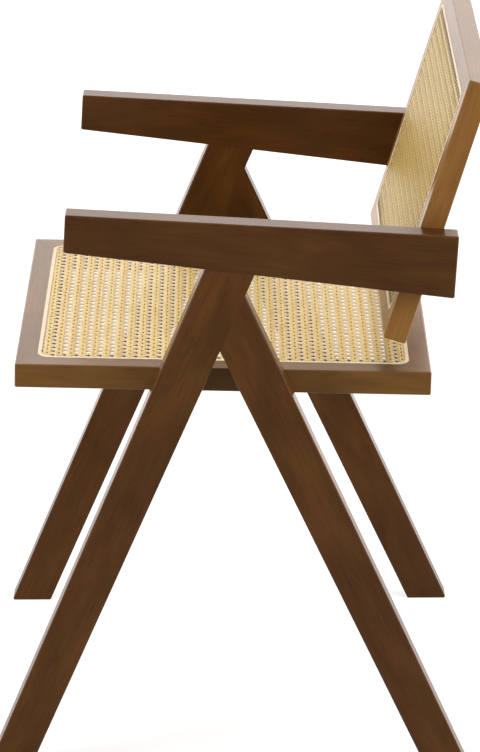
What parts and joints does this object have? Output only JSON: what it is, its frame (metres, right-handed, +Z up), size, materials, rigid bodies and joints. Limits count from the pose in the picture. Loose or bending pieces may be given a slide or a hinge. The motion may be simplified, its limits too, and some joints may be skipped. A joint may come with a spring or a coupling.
{
  "type": "wooden armchair",
  "caption": "Armchair with splayed legs in flat side frames, tapered arms, and a caned seat and leaning caned back in mitred wood frames.",
  "frame": {"origin": "on the floor, midway between the two side frames and midway between the front of the front feet and the rear of the back's top edge", "axes": "+Z up, -Y to the chair's front, +X to the sitter's left"},
  "size_m": [0.536, 0.5502, 0.7787],
  "materials": {
    "wood": "semi-gloss walnut stain",
    "cane": "natural woven rattan cane",
    "spline": "pale rattan reed, satin",
    "tenon": "raw beech"
  },
  "bodies": {
    "root": {"arm_left": "wood", "arm_right": "wood", "front_leg_left": "wood", "front_leg_right": "wood", "rear_leg_left": "wood", "rear_leg_right": "wood", "seat_side_rail_left": "wood", "seat_side_rail_right": "wood", "seat_front_rail": "wood", "seat_rear_rail": "wood", "back_stile_left": "wood", "back_stile_right": "wood", "back_top_rail": "wood", "back_bottom_rail": "wood", "seat_cane": "cane", "back_cane": "cane", "seat_spline": "spline", "back_spline": "spline", "arm_tenons": "tenon", "leg_tenons": "tenon", "seat_side_tenons": "tenon", "back_side_tenons": "tenon", "seat_corner_tenons": "tenon", "back_corner_tenons": "tenon"}
  },
  "joints": []
}
